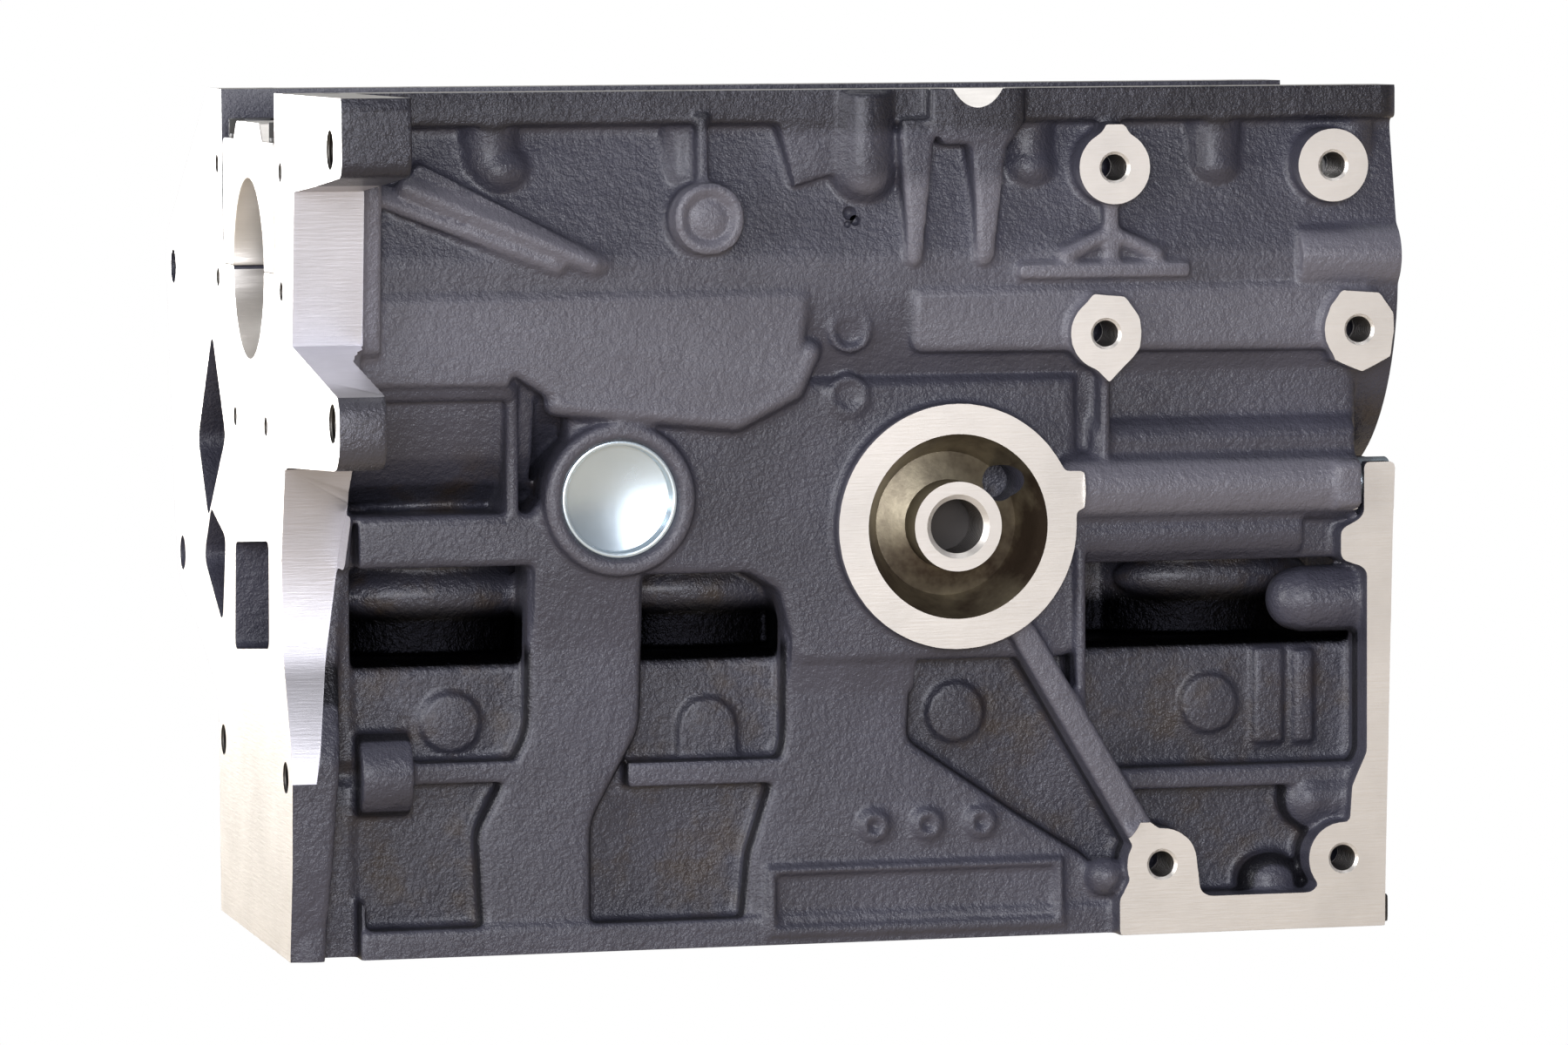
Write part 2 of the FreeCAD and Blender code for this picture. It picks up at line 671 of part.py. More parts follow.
def filter_seat():
    x, z = filter_place
    top, floor = s.filter_plane, s.filter_plane - s.filter_recess_depth
    ring = cut("filter_recess", rod("filter_recess_round", "side", (x, z), floor, top + 1, s.filter_recess_diameter), [
        rod("filter_centre", "side", (x, z), floor - 1, top + 2, s.filter_boss_diameter),
    ])
    return [
        ring,
        rod("filter_thread", "side", (x, z), top - 20, top + 1, s.filter_thread_diameter),
        rod("filter_thread_chamfer", "side", (x, z), top - 1.5, top + 0.5,
            s.filter_thread_diameter, s.filter_thread_diameter + 4),
        rod("filter_passage", "side", (x, z), s.chamber_half_width - 24, top - 19, s.gallery_diameter + 1),
        rod("filter_inlet", "side", (x + 18, z + 13), s.chamber_half_width - 14, floor + 1, 12),
        rod("main_gallery", "end", (-s.broad_plane + 6, crank - 73), x + 18, nose + 1, s.gallery_diameter),
        rod("gallery_seat", "end", (-s.broad_plane + 6, crank - 73), nose - s.gallery_plug_length - 1, nose + 1,
            s.gallery_plug_diameter),
    ]


def plug_holes():
    x, z = plug_place
    top = s.broad_plane + 3
    things = [
        rod("plug_hole", "side", (x, z), top - 12, top + 1, s.core_plug_diameter),
        rod("plug_cavity", "side", (x, z), s.jacket_half_width - 5, top - 11, s.core_plug_diameter - 6),
    ]
    for n, cx in enumerate(cylinders, start=1):
        things.append(rod(f"far_plug_hole_{n}", "side", (cx, 58), -s.jacket_half_width - 6, -s.jacket_half_width + 6,
                          s.far_plug_diameter))
    return things


def small_holes():
    things = []
    for name, (x, z, plane) in bracket_bosses().items():
        things.append(rod(f"bracket_thread_{name}", "side", (x, z), plane - s.bracket_hole_depth, plane + 1,
                          s.bracket_thread_diameter))
    for n, (x, z) in enumerate(mount_places(), start=1):
        things.append(rod(f"mount_thread_{n}", "side", (x, z), -s.bracket_plane - 1,
                          -s.bracket_plane + s.bracket_hole_depth, s.bracket_thread_diameter))
    for n, (x, diameter, drop) in enumerate(rail_bolt_rows(), start=1):
        for side, y in (("near", -rail_line), ("far", rail_line)):
            things.append(rod(f"rail_thread_{side}_{n}", "top", (x, y), rail - s.rail_hole_depth, rail + 1,
                              s.rail_thread_diameter))
    for n, (y, z, diameter) in enumerate(flange_holes(), start=1):
        things.append(rod(f"flange_hole_{n}", "end", (y, z), -nose - 1, -nose + s.flange_thickness + 1, diameter))
    depth = s.carrier_hole_depth
    for n, (end, y, z) in enumerate(carrier_holes(), start=1):
        low = -nose - 1 if end == "rear" else nose - depth
        things.append(rod(f"carrier_thread_{n}", "end", (y, z), low, low + depth + 1, s.rail_thread_diameter))
    return things


def flange_holes():
    reach = s.flange_reach
    bolt = s.flange_bolt_diameter
    return [
        (-reach + 18, rail - 16, bolt), (-reach + 18, crank - 42, bolt), (reach - 12, crank - 5, bolt),
        (reach - 26, 116, bolt), (-61, 59, bolt - 2), (61, 59, bolt - 2),
    ]


def carrier_holes():
    """Bolt places of the two crankshaft seal carriers, as (end, y, z)."""
    rear = [(-62, rail - 25), (62, rail - 25), (-62, crank - 5), (62, crank - 5), (-30, crank - 50), (30, crank - 50)]
    front = [(-60, rail - 28), (60, rail - 28), (-60, crank - 8), (60, crank - 8), (-36, crank - 54), (36, crank - 54)]
    return [("rear", y, z) for y, z in rear] + [("front", y, z) for y, z in front]


# ---------------------------------------------------------------- fitted parts

def bearing_cap(number, x):
    half = s.cap_width / 2 - s.cap_clearance
    shoulder = cap_top
    cap = prism(f"cap_body_{number}", "end", x - s.bearing_width / 2, x + s.bearing_width / 2, [
        (-half, parting), (half, parting), (half, shoulder, 3), (28, shoulder, 2), (22, shoulder + 6, 4),
        (-22, shoulder + 6, 4), (-28, shoulder, 2), (-half, shoulder, 3),
    ])
    holes = [rod(f"cap_bore_{number}", "end", (0, crank), x - s.bearing_width, x + s.bearing_width, s.main_bore_diameter)]
    for side, y in (("near", -s.cap_bolt_spacing / 2), ("far", s.cap_bolt_spacing / 2)):
        holes.append(rod(f"cap_hole_{side}_{number}", "top", (x, y), parting - 1, shoulder + 1,
                         s.cap_bolt_diameter + s.bolt_clearance * 2))
    return cut(f"main_bearing_cap_{number}", cap, holes)


def cap_bolt(name, x, y):
    head = doc.addObject("Part::Prism", f"{name}_head")
    head.Polygon = 6
    bind(head, "Circumradius", s.bolt_head_flats / math.sqrt(3))
    bind(head, "Height", s.bolt_head_height)
    put(head, Rotation(), x, y, cap_top)
    washer = rod(f"{name}_washer", "top", (x, y), cap_top, cap_top + 1.5, s.bearing_width - 1)
    shank = rod(f"{name}_shank", "top", (x, y), parting - s.bolt_reach, cap_top + 1, s.cap_bolt_diameter)
    return fuse(name, [head, washer, shank])


def cup_plug(name, place, rim, diameter):
    """Pressed steel core plug: a shallow cup with its open side outwards."""
    x, z = place
    depth, sheet_metal = s.core_plug_depth, s.core_plug_sheet
    cup = rod(f"{name}_cup", "side", (x, z), rim - depth, rim, diameter)
    cup.recompute(True)
    bottom = rounded(f"{name}_bent", cup, 2.5, at_depth(rim - depth))
    hollow = rod(f"{name}_hollow", "side", (x, z), rim - depth + sheet_metal, rim + 1, diameter - sheet_metal * 2)
    return cut(name, bottom, [hollow])


def far_cup_plug(name, x):
    rim = s.jacket_half_width + 4.5
    depth, sheet_metal = s.core_plug_depth, s.core_plug_sheet
    cup = rod(f"{name}_cup", "side", (x, 58), -rim, -rim + depth, s.far_plug_diameter)
    hollow = rod(f"{name}_hollow", "side", (x, 58), -rim - 1, -rim + depth - sheet_metal, s.far_plug_diameter - sheet_metal * 2)
    return cut(name, cup, [hollow])


def gallery_plug():
    """Screwed plug with a hexagon socket that closes the main oil gallery."""
    y, z = -s.broad_plane + 6, crank - 73
    body = rod("gallery_plug_body", "end", (y, z), nose - s.gallery_plug_length - 1, nose - 1, s.gallery_plug_diameter)
    socket = doc.addObject("Part::Prism", "gallery_plug_socket")
    socket.Polygon = 6
    bind(socket, "Circumradius", s.gallery_plug_diameter * 0.29)
    bind(socket, "Height", s.gallery_plug_length / 2 + 1)
    put(socket, TURN["end"], nose - 1 - s.gallery_plug_length / 2, y, z)
    return cut("gallery_plug", body, [socket])


# ---------------------------------------------------------------- assembly

parts = {}

raw = fuse("plain_body", cast_body())
for group in (near_relief, near_tubes, near_bosses, rail_bosses, wall_details, flange, far_relief):
    raw = fuse(f"body_with_{group.__name__}", [raw] + group())
windowed = cut("windowed_casting", raw, flange_pockets())
hollowed = cut("hollowed_casting", windowed, chambers())
housed = fuse("housed_casting", [hollowed] + saddles())
block = cut("block_casting", housed, water_jacket() + bores() + filter_seat() + plug_holes() + small_holes())
parts["block_casting"] = block

for number, x in enumerate(webs, start=1):
    parts[f"main_bearing_cap_{number}"] = bearing_cap(number, x)

bolts = []
for number, x in enumerate(webs, start=1):
    for side, y in (("near", -s.cap_bolt_spacing / 2), ("far", s.cap_bolt_spacing / 2)):
        bolts.append(cap_bolt(f"cap_bolt_{side}_{number}", x, y))
bolt_set = doc.addObject("Part::Compound", "main_cap_bolts")
bolt_set.Links = bolts
parts["main_cap_bolts"] = bolt_set

parts["core_plug_near"] = cup_plug("core_plug_near", plug_place, s.broad_plane + 2.5, s.core_plug_diameter)
far_plugs = doc.addObject("Part::Compound", "core_plugs_far")
far_plugs.Links = [far_cup_plug(f"far_plug_{n}", x) for n, x in enumerate(cylinders, start=1)]
parts["core_plugs_far"] = far_plugs
parts["gallery_plug"] = gallery_plug()

doc.recompute()

failed = [thing.Name for thing in doc.Objects if "Invalid" in thing.State or "Error" in thing.State]
if failed:
    raise RuntimeError(f"these did not build: {failed}")

os.makedirs("parts", exist_ok=True)
for name, thing in parts.items():
    thing.Label = name
    shape = thing.Shape
    if shape.isNull() or not shape.isValid():
        raise RuntimeError(f"{name} has no valid shape")
    shape.exportStep(f"parts/{name}.step")
    print(name, len(shape.Solids), "solids", len(shape.Faces), "faces", round(shape.Volume / 1000, 1), "cm3")
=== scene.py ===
import math

import bmesh
import bpy
from mathutils import Matrix, Vector


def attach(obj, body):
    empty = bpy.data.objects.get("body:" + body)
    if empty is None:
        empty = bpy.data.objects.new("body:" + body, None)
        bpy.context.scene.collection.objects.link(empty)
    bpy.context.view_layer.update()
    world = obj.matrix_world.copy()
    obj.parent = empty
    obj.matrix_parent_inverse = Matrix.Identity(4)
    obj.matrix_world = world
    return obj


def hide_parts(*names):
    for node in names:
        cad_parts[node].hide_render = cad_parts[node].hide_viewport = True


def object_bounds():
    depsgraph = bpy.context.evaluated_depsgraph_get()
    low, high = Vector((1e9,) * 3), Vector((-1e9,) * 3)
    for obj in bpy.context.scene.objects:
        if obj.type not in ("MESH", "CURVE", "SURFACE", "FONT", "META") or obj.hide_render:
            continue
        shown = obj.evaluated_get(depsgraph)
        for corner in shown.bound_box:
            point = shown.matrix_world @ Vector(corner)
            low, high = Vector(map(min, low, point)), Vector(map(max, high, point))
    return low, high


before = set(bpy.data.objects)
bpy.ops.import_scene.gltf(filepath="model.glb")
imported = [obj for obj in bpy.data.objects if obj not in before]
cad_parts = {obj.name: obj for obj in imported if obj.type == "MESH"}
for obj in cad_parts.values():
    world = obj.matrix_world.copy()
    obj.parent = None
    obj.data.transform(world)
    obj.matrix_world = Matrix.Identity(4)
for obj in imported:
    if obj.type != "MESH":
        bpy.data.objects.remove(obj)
cad_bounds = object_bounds()


# ---------------------------------------------------------------- the casting
# Grey iron poured in a sand mould, so every outside corner is soft and every
# inside corner has a fillet.  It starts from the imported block, gets machining
# stock and the small cast marks, and is melted into one skin.

# Sizes are millimetres: x runs along the crankshaft and z up from the deck, and
# "out" is a distance from the crankshaft's plane towards the near side, -y.
X, Y, Z = range(3)
TO_METRES = Matrix.Scale(0.001, 4)
FLYWHEEL, TIMING = (round(1000 * corner.x, 2) for corner in cad_bounds)
DECK, RAIL = (round(1000 * corner.z, 2) for corner in cad_bounds)
CRANK = 220
CYLINDERS = (-132, -44, 44, 132)
FILTER = (34, 136)  # centre of the oil filter seat
round_bosses = [(86.5, 252, 80), (161, 252, 80), (83.5, 198, 80), (170, 198, 80)]  # x, z and how far out
bracket_bolts = round_bosses + [(103.5, 23, 76), (166, 23, 76)]  # with the two in the bracket's foot
mount_bolts = [(14, 190), (14, 248), (94, 190), (94, 248)]  # on the far side
stock = 3  # iron left on a face that is machined later
grain = 0.95  # size of the smallest cast form


def cast_mesh(node):
    """A node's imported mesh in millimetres, with its loose triangles joined."""
    form = bmesh.new()
    form.from_mesh(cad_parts[node].data)
    bmesh.ops.scale(form, vec=(1000, 1000, 1000), verts=form.verts)
    bmesh.ops.remove_doubles(form, verts=form.verts, dist=0.002)
    return form


def as_object(form, name, *materials):
    mesh = bpy.data.meshes.new(name)
    form.to_mesh(mesh)
    form.free()
    piece = bpy.data.objects.new(name, mesh)
    bpy.context.scene.collection.objects.link(piece)
    for material in materials:
        mesh.materials.append(material)
    return piece


def settle(piece):
    """Apply a piece's modifiers to its mesh."""
    graph = bpy.context.evaluated_depsgraph_get()
    finished = bpy.data.meshes.new_from_object(piece.evaluated_get(graph))
    piece.modifiers.clear()
    piece.data = finished


def combine(piece, tool, operation):
    """Cut, or keep only what is shared, and throw the tool away."""
    step = piece.modifiers.new("step", "BOOLEAN")
    step.object, step.operation, step.solver = tool, operation, "MANIFOLD"
    step.material_mode = "TRANSFER"
    settle(piece)
    bpy.data.objects.remove(tool)


def block_of(form, low, high, soften=0):
    """A rectangular lump from its lowest to its highest corner."""
    low, high = Vector(low), Vector(high)
    made = bmesh.ops.create_cube(form, size=1)["verts"]
    bmesh.ops.scale(form, vec=high - low, verts=made)
    bmesh.ops.translate(form, vec=(low + high) / 2, verts=made)
    if soften:
        edges = list({e for v in made for e in v.link_edges})
        bmesh.ops.bevel(form, geom=edges, offset=soften, segments=3, profile=0.5, affect="EDGES", material=-1)


def leave_stock(low, high, axis, towards):
    """Stretch the slice of the casting between two corners outwards along an axis."""
    window = bmesh.new()
    block_of(window, low, high)
    slab = as_object(cast_mesh("block_casting"), "slab")
    combine(slab, as_object(window, "window"), "INTERSECT")
    inner = Vector()
    inner[axis] = low[axis] if towards > 0 else high[axis]
    thickness = high[axis] - low[axis]
    factors = Vector((1, 1, 1))
    factors[axis] = (thickness + stock) / thickness
    stretch = Matrix.Diagonal((*factors, 1))
    slab.data.transform(Matrix.Translation(inner) @ stretch @ Matrix.Translation(-inner))
    mould.from_mesh(slab.data)
    bpy.data.objects.remove(slab)


mould = cast_mesh("block_casting")
leave_stock((FLYWHEEL - 1, -200, -1), (FLYWHEEL + 2, 200, 300), X, -1)
leave_stock((TIMING - 2, -200, -1), (TIMING + 1, 200, 300), X, 1)
leave_stock((-200, -200, RAIL - 2), (200, 200, RAIL + 1), Z, 1)
leave_stock((-200, -200, DECK - 1), (200, 200, DECK + 2), Z, -1)
for x, z, out in round_bosses:
    leave_stock((x - 13, -out - 1, z - 13), (x + 13, -out + 1.5, z + 13), Y, -1)
for x, z in mount_bolts:
    leave_stock((x - 13, 78.5, z - 13), (x + 13, 81, z + 13), Y, 1)
for low_x, high_x, top in ((86, 186, 13), (91, 116, 36), (152, 186, 36), (162.5, 186, 155)):
    leave_stock((low_x, -77, -1), (high_x, -74.5, top), Y, -1)
leave_stock((FILTER[0] - 42, -79, FILTER[1] - 42), (FILTER[0] + 42, -76.5, FILTER[1] + 42), Y, -1)


def round_of(form, start, end, radius, end_radius=None, sides=56):
    """A round lump, or a cone, between two points on its axis."""
    start, end = Vector(start), Vector(end)
    turn = (end - start).to_track_quat("Z", "Y").to_matrix().to_4x4()
    place = Matrix.Translation((start + end) / 2) @ turn
    bmesh.ops.create_cone(form, cap_ends=True, segments=sides, radius1=radius,
                          radius2=radius if end_radius is None else end_radius,
                          depth=(end - start).length, matrix=place)


def dome_of(form, centre, radius, squash=(1, 1, 1)):
    """A rounded end or blister."""
    place = Matrix.Translation(centre) @ Matrix.Diagonal((*squash, 1))
    bmesh.ops.create_uvsphere(form, u_segments=32, v_segments=16, radius=radius, matrix=place)


def bead(form, start, end, radius):
    """A rounded ridge between two points."""
    round_of(form, start, end, radius, sides=20)
    dome_of(form, start, radius)
    dome_of(form, end, radius)


def turn_of(form, centre, section, steps):
    """Spin a closed section of (radius, distance out) round an axis that points out of the near side."""
    ring = bmesh.new()
    corners = [ring.verts.new((centre[0] + radius, -out, centre[1])) for radius, out in section]
    edges = [ring.edges.new((corners[i - 1], corners[i])) for i in range(len(corners))]
    bmesh.ops.spin(ring, geom=corners + edges, cent=(centre[0], 0, centre[1]), axis=(0, 1, 0),
                   angle=2 * math.pi, steps=steps, use_merge=True)
    bmesh.ops.recalc_face_normals(ring, faces=ring.faces)
    loose = bpy.data.meshes.new("ring")
    ring.to_mesh(loose)
    ring.free()
    form.from_mesh(loose)
    bpy.data.meshes.remove(loose)


def collar_of(form, centre, out, inner, outer, height):
    """A raised ring that stands on the near side."""
    turn_of(form, centre, [(inner, out), (outer, out), (outer, out + height), (inner, out + height)], 56)


def thicken(form, corners, step):
    """Make a flat lump from the corners of its outline."""
    base = form.faces.new(corners)
    grown = bmesh.ops.extrude_face_region(form, geom=[base])["geom"]
    top = [v for v in grown if isinstance(v, bmesh.types.BMVert)]
    bmesh.ops.translate(form, vec=step, verts=top)
    faces = list({f for v in top + corners for f in v.link_faces})
    bmesh.ops.recalc_face_normals(form, faces=faces)


def side_plate(form, outline, near, far):
    """A flat lump with an outline in (x, z), between two distances out."""
    thicken(form, [form.verts.new((x, -near, z)) for x, z in outline], Vector((0, near - far, 0)))


def end_plate(form, outline, start, end):
    """A flat lump with an outline in (y, z), between two places along the crankshaft."""
    thicken(form, [form.verts.new((start, y, z)) for y, z in outline], Vector((end - start, 0, 0)))


# oil filter seat: its ring and its centre are one lump until the seat is turned
round_of(mould, (FILTER[0], -60, FILTER[1]), (FILTER[0], -78.3, FILTER[1]), 31)
# round marks on the pocket floors, one of them running down to the floor's edge
for x, z in ((-130.5, 75), (-45.5, 71), (38, 73.5), (125, 74)):
    round_of(mould, (x, -54, z), (x, -59, z), 9.6)
block_of(mould, (-55.1, -59, 62), (-35.9, -54, 71))
# three small rings above the number pad and two beside the lettering panel
for x in (8, 26, 44):
    collar_of(mould, (x, 38), 66, 2.2, 5.0, 3.2)
collar_of(mould, (-1, 200), 71, 4.9, 7.2, 3.6)
collar_of(mould, (-1, 179), 69, 4.7, 6.8, 3.0)
# frame of the bare number pad
left, right, bottom, top, bar = -28, 72, 3, 25.6, 2.6
for low_x, high_x, low_z, high_z in ((left, right, bottom, bottom + bar), (left, right, top - bar, top),
                                     (left, left + bar, bottom, top), (right - bar, right, bottom, top)):
    block_of(mould, (low_x, -69.4, low_z), (high_x, -66, high_z))
# rounded ends under the rail's bolt bosses, on both sides
for x, z, radius in ((-115, 253, 11), (-55, 251, 8), (61, 252, 10), (124, 252, 10)):
    dome_of(mould, (x, -63.5, z), radius, (1, 1, 0.8))
    dome_of(mould, (x, 63, z), radius, (1, 1, 0.7))
dome_of(mould, (4, 63, 251), 10.5, (1, 1, 0.7))
# upright tube with its gusset, two tapered ribs beside it and the pad under the breather's face
round_of(mould, (4.5, -66, 252), (4.5, -66, 277), 12)
dome_of(mould, (4.5, -66, 252), 12)
side_plate(mould, [(-24, 266), (-19, 247), (-5, 251), (-5, 266)], 60, 73.5)
side_plate(mould, [(15, 264), (27, 264), (22.5, 223), (18.5, 223)], 64, 77.5)
side_plate(mould, [(38.5, 264), (51.5, 264), (46.5, 223), (42.5, 223)], 64, 77.5)
side_plate(mould, [(25, 279), (57, 279), (57, 267), (52, 260), (30, 260), (25, 267)], 60, 77.8)
# round boss with a ring, hung from the rail, and the long gusset's two ridges
round_of(mould, (-49, -60, 237), (-49, -79.5, 237), 11.6)
collar_of(mould, (-49, 237), 78, 8.2, 11.6, 3.2)
collar_of(mould, (-49, 237), 78, 0.4, 5.0, 2.6)
bead(mould, (-147, -75.4, 248), (-86.5, -76, 223), 3.3)
bead(mould, (-160, -75.0, 246), (-98, -75.6, 222.5), 2.6)
# beads along the lower edge of the lettering panel and over the corner recess
panel_edge = ((-98, 178), (-39, 172), (-20, 181.4), (-14.5, 193.4))
for start, end in zip(panel_edge, panel_edge[1:]):
    bead(mould, (start[0], -72.2, start[1]), (end[0], -72.2, end[1]), 4.2)
bead(mould, (-164, -70.5, 182.5), (-114, -70.5, 182.5), 3.3)
# swelling of each cylinder's jacket
for x in CYLINDERS:
    dome_of(mould, (x, -38, 115), 34, (1, 0.36, 0.31))
# bosses at the timing end, the raised floor beside them and the lumps at the bracket's foot
bead(mould, (155, -59.5, 108), (172, -60.5, 108), 10.5)
dome_of(mould, (158, -61, 42), 10.5)
block_of(mould, (140.5, -59.2, 60), (150.5, -54, 92), 0.6)
block_of(mould, (154, -59.8, 60), (161, -54, 91), 0.6)
dome_of(mould, (86, -69, 19), 6.5)
dome_of(mould, (145, -58, 15), 11.5, (1, 0.9, 0.8))
# lobes that give the bracket bosses their faced outline, and the feet over the shelf
side_plate(mould, [(79, 258), (94, 258), (90, 266), (83.5, 266)], 66, 80.9)
side_plate(mould, [(74, 204), (79, 211), (90, 210), (95, 203), (95, 193), (84.5, 182), (75, 192)], 70, 80.9)
side_plate(mould, [(159.5, 205), (164, 211), (177, 210), (182, 203), (181, 189), (171, 184), (161.5, 188)],
           70, 80.9)
bead(mould, (86.5, -74.5, 231), (71, -75.5, 223.5), 2.6)
bead(mould, (86.5, -74.5, 231), (102, -75.5, 223.5), 2.6)
# the corner recess bulges towards its upper edge
end_plate(mould, [(-30, 186), (-68.5, 186), (-66.5, 173), (-63.5, 161), (-57.5, 152), (-47, 146), (-30, 144)],
          -172, -104)
# ring round the core plug, the flange's edge beside the scallop, and a boss on the far side
collar_of(mould, (-77.5, 147), 73, 20.0, 24.4, 2.6)
end_plate(mould, [(-60, 184), (-81, 196), (-86.5, 250), (-60, 252)], -166, -156.5)
round_of(mould, (-60, 81, 236), (-60, 60, 236), 9)

poured = as_object(mould, "block")
skin = poured.modifiers.new("skin", "REMESH")
skin.mode, skin.voxel_size, skin.adaptivity = "VOXEL", grain, 0
soft = poured.modifiers.new("soft", "SMOOTH")
soft.factor, soft.iterations = 0.5, 6
settle(poured)
kept_triangles = 188000
lean = poured.modifiers.new("lean", "DECIMATE")
lean.ratio = min(1.0, kept_triangles / (2 * len(poured.data.polygons)))
settle(poured)


# ---------------------------------------------------------------- the finishes
# Satin black paint over cast grain, bare milled iron, drilled and tapped holes
# whose walls are painted dark as shade, and the turned floor of the oil filter seat.

class Wire:
    """A shader socket that can be used in arithmetic."""

    def __init__(self, finish, socket):
        self.finish, self.socket = finish, socket

    def maths(self, operation, *inputs):
        node = self.finish.node("ShaderNodeMath", {"operation": operation})
        for slot, value in zip(node.inputs, inputs):
            self.finish.feed(slot, value)
        return Wire(self.finish, node.outputs[0])

    def __add__(self, other):
        return self.maths("ADD", self, other)

    def __radd__(self, other):
        return self.maths("ADD", other, self)

    def __sub__(self, other):
        return self.maths("SUBTRACT", self, other)

    def __rsub__(self, other):
        return self.maths("SUBTRACT", other, self)

    def __mul__(self, other):
        return self.maths("MULTIPLY", self, other)

    def __rmul__(self, other):
        return self.maths("MULTIPLY", other, self)

    def sine(self):
        return self.maths("SINE", self)

    def ramp(self, low, high):
        """0 at low, 1 at high, even in between and held beyond them."""
        node = self.finish.node("ShaderNodeMapRange", Value=self, From_Min=low, From_Max=high)
        return Wire(self.finish, node.outputs["Result"])


class Finish:
    """The nodes of a material, or of the world, and the shader that they feed."""

    def __init__(self, owner, shader="Principled BSDF"):
        self.owner = owner
        owner.use_nodes = True
        self.tree = owner.node_tree
        self.shader = self.tree.nodes[shader]

    def node(self, kind, settings=(), **values):
        """A node with its settings, then with the values or links of its sockets."""
        made = self.tree.nodes.new(kind)
        for name, value in dict(settings).items():
            setattr(made, name, value)
        for name, value in values.items():
            self.feed(made.inputs[name.replace("_", " ")], value)
        return made

    def feed(self, socket, value):
        if isinstance(value, Wire):
            value = value.socket
        if isinstance(value, bpy.types.NodeSocket):
            self.tree.links.new(value, socket)
        else:
            socket.default_value = value

    def place(self):
        """Where a point lies on the object, in metres."""
        return self.node("ShaderNodeTexCoord").outputs["Object"]

    def noise(self, scale, detail=2, roughness=0.5, stretch=None):
        where = self.place()
        if stretch:
            where = self.node("ShaderNodeMapping", Vector=where, Scale=stretch).outputs[0]
        made = self.node("ShaderNodeTexNoise", Vector=where, Scale=scale, Detail=detail, Roughness=roughness)
        return Wire(self, made.outputs["Fac"])

    def axes(self):
        parts = self.node("ShaderNodeSeparateXYZ", Vector=self.place())
        return [Wire(self, parts.outputs[axis]) for axis in "XYZ"]

    def blend(self, factor, low, high):
        made = self.node("ShaderNodeMix", {"data_type": "RGBA"})
        self.feed(made.inputs["Factor"], factor)
        self.feed(made.inputs["A"], low)
        self.feed(made.inputs["B"], high)
        return made.outputs["Result"]

    def bump(self, height, distance, strength=1.0, under=None):
        made = self.node("ShaderNodeBump", Height=height, Distance=distance, Strength=strength)
        if under is not None:
            self.feed(made.inputs["Normal"], under)
        return made.outputs["Normal"]

    def set(self, **values):
        for name, value in values.items():
            self.feed(self.shader.inputs[name.replace("_", " ")], value)
        return self.owner


# Places in the finishes are metres.  The bosses that stand furthest out carry a painted
# highlight, the pockets are a little rusty, and painted shade turns the pockets' backs black
# and darkens the pocket floors, the edges of the rail and the shelf, and the flange's arms.
paint = Finish(bpy.data.materials.new("block_paint"))
x, y, z = paint.axes()
# painted highlight: pale on the surfaces that stand furthest out, below the rail
proud_highlight = y.ramp(-0.0745, -0.0768) * z.ramp(0.252, 0.245)
pockets = y.ramp(-0.066, -0.054) * y.ramp(-0.02, -0.04)
# painted shade: black at the back of each pocket, under the jacket's shelf
pocket_back_shade = y.ramp(-0.0574, -0.0558) * y.ramp(0.0, -0.02) * z.ramp(0.113, 0.106) * z.ramp(0.0915, 0.0935)
# painted shade on the rail's edge, on the pocket walls under the shelf and on the flange's arms, summed below
# with a share on the pocket floors
rail_edge = z.ramp(0.2625, 0.2665) * y.ramp(-0.072, -0.073) * y.ramp(-0.084, -0.080)
shelf_edge = y.ramp(-0.0600, -0.0612) * y.ramp(-0.0668, -0.0658) * z.ramp(0.101, 0.097)
flange_arms = y.ramp(-0.088, -0.092)
painted_shade = rail_edge * 0.5 + shelf_edge * 0.75 + pockets * 0.3 + flange_arms * 0.5
rust = paint.noise(60, 4, 0.6).ramp(0.5, 0.68) * pockets
black = paint.blend(paint.noise(22, 3).ramp(0.35, 0.7), (0.044, 0.044, 0.062, 1), (0.068, 0.068, 0.095, 1))
rusty_black = paint.blend(rust * 0.75, black, (0.060, 0.040, 0.024, 1))
# the pale blend here is the painted highlight
highlit_black = paint.blend(proud_highlight * 0.85, rusty_black, (0.150, 0.147, 0.180, 1))
sand = paint.noise(520, 3, 0.62) + paint.noise(1500, 2, 0.6) * 0.35
flow = paint.bump(paint.noise(110, 2), 0.0009, 0.6)
# painted shade: where the shade masks rise, the base colour goes to near-black, the metallic rises and the
# coat falls away
paint.set(
    Base_Color=paint.blend(pocket_back_shade * 0.9 + painted_shade, highlit_black, (0.005, 0.005, 0.0065, 1)),
    Roughness=0.25 + paint.noise(75, 3) * 0.16 + paint.noise(900, 2, 0.6) * 0.06,
    Metallic=pocket_back_shade * 0.93 + painted_shade * 0.5,
    Coat_Weight=0.15 - pocket_back_shade * 0.15,
    Coat_Roughness=0.22,
    Normal=paint.bump(sand, 0.0008, 0.75, flow),
)


def milled(name, tint, across, roughness=0.34):
    """Bare cut iron with the fine lines that the cutter leaves."""
    finish = Finish(bpy.data.materials.new(name))
    lines = finish.noise(1.0, 3, 0.65, across)
    stain = finish.noise(30, 4, 0.6)
    clean = (*tint, 1)
    stained = (*(0.72 * part for part in tint), 1)
    return finish.set(
        Base_Color=finish.blend(stain.ramp(0.35, 0.75) * 0.5 + lines * 0.3, clean, stained),
        Metallic=0.75,
        Roughness=roughness + lines * 0.14,
        Normal=finish.bump(lines, 0.00012, 0.5),
    )


